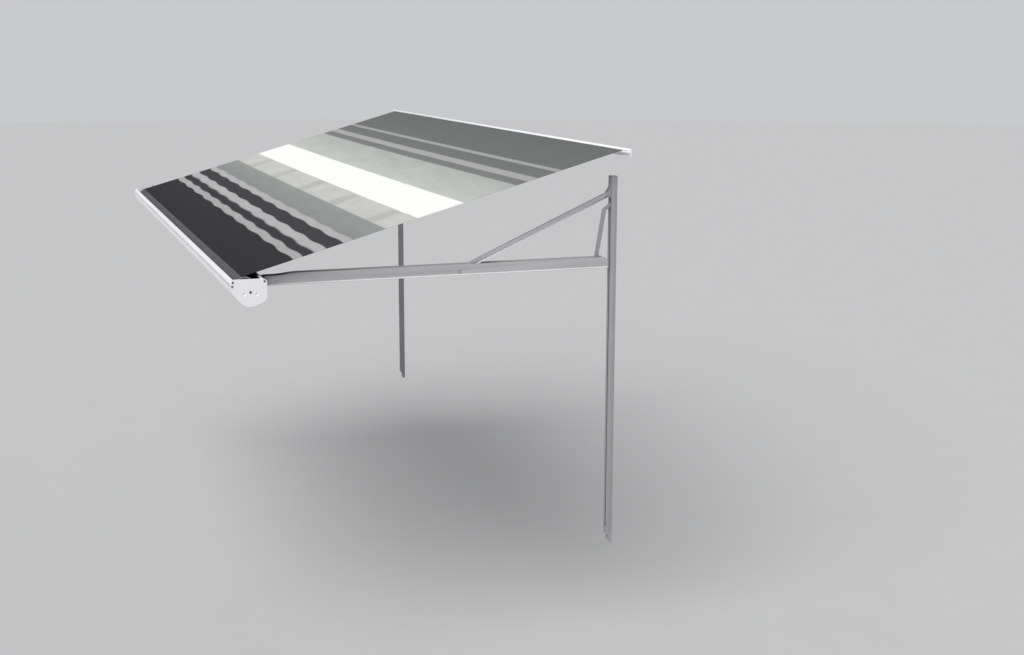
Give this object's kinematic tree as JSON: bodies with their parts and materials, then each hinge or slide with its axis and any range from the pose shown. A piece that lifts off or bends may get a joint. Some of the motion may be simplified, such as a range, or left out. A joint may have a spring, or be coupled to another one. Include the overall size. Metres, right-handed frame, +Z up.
{
  "type": "roll out awning",
  "caption": "Wall-mounted roll out awning: striped fabric from a wall rail to a motor roller in an open lead rail, held out by folding arms with braces and stays on side tracks.",
  "frame": {"origin": "on the wall, in the middle of the wall rail, at the height where the fabric leaves the rail", "axes": "+X along the wall to the rear end, +Y into the wall, +Z up"},
  "size_m": [5.133, 2.255, 2.377],
  "materials": {
    "striped_fabric": "coated woven fabric, grey and white stripes",
    "bead_cord": "extruded cord",
    "white_paint": "satin white powder coat",
    "white_plastic": "moulded",
    "black_rubber": "matt",
    "black_plastic": "moulded",
    "cast_grey": "cast, matt",
    "steel": "zinc plated",
    "motor_case": "painted tube",
    "satin_aluminium": "satin anodised"
  },
  "bodies": {
    "wall_frame": {"wall_rail": "white_paint", "rail_caps": "white_plastic", "fabric_bead": "bead_cord", "canopy": "striped_fabric", "track_rear": "satin_aluminium", "track_front": "satin_aluminium", "brace_bracket_rear": "satin_aluminium", "brace_bracket_front": "satin_aluminium", "bracket_pin_rear": "steel", "bracket_pin_front": "steel", "track_foot_rear": "satin_aluminium", "track_foot_front": "satin_aluminium"},
    "brace_rear": {"brace_rear": "satin_aluminium", "brace_bushes_rear": "black_plastic"},
    "brace_front": {"brace_front": "satin_aluminium", "brace_bushes_front": "black_plastic"},
    "arm_frame": {"arm_rear": "satin_aluminium", "arm_front": "satin_aluminium", "arm_pin_rear": "steel", "arm_pin_front": "steel", "arm_toe_rear": "cast_grey", "arm_toe_front": "cast_grey", "stay_pin_rear": "steel", "stay_pin_front": "steel", "arm_shoe_rear": "cast_grey", "arm_shoe_front": "cast_grey", "shoe_bolts_rear": "steel", "shoe_bolts_front": "steel", "lead_rail": "white_paint", "wiper_seal": "black_rubber", "end_plate_rear": "white_paint", "end_plate_front": "white_paint", "plate_screws_rear": "steel", "plate_screws_front": "steel", "port_cap_rear": "black_rubber", "port_cap_front": "black_rubber", "tube_motor": "motor_case", "idler_shaft": "steel"},
    "roller": {"roller_tube": "satin_aluminium", "fabric_roll": "striped_fabric", "crown_ring": "black_plastic", "drive_wheel": "black_plastic", "motor_shaft": "steel", "idler_plug": "black_plastic"},
    "stay_rear": {"stay_rear": "satin_aluminium", "slide_button_rear": "white_plastic", "button_pin_rear": "steel"},
    "stay_front": {"stay_front": "satin_aluminium", "slide_button_front": "white_plastic", "button_pin_front": "steel"}
  },
  "joints": [
    {"name": "awning_fold", "type": "hinge", "parent": "wall_frame", "child": "brace_rear", "pos_m": [2.311, -0.051, -0.262], "axis": [1, 0, 0], "range_deg": [0, 64.9], "deforming": ["canopy"]},
    {"name": "arm_fold", "type": "hinge", "parent": "brace_rear", "child": "arm_frame", "pos_m": [2.311, -0.96, -0.662], "axis": [-1, 0, 0], "range_deg": [0, 154]},
    {"name": "brace_front_fold", "type": "hinge", "parent": "wall_frame", "child": "brace_front", "pos_m": [-2.311, -0.051, -0.262], "axis": [1, 0, 0], "range_deg": [0, 64.9]},
    {"name": "roller_spin", "type": "hinge", "parent": "arm_frame", "child": "roller", "pos_m": [0, -2.175, -0.67], "axis": [1, 0, 0], "range_deg": [0, 2109.25]},
    {"name": "stay_rear_fold", "type": "hinge", "parent": "arm_frame", "child": "stay_rear", "pos_m": [2.311, -0.123, -0.662], "axis": [1, 0, 0], "range_deg": [0, 98.92]},
    {"name": "stay_front_fold", "type": "hinge", "parent": "arm_frame", "child": "stay_front", "pos_m": [-2.311, -0.123, -0.662], "axis": [1, 0, 0], "range_deg": [0, 98.92]}
  ],
  "couplings": [
    {"joint": "arm_fold", "follows": "awning_fold", "ratio": 2.3729},
    {"joint": "brace_front_fold", "follows": "awning_fold", "ratio": 1},
    {"joint": "roller_spin", "follows": "awning_fold", "ratio": 32.5},
    {"joint": "stay_rear_fold", "follows": "awning_fold", "ratio": 1.5242},
    {"joint": "stay_front_fold", "follows": "awning_fold", "ratio": 1.5242}
  ]
}
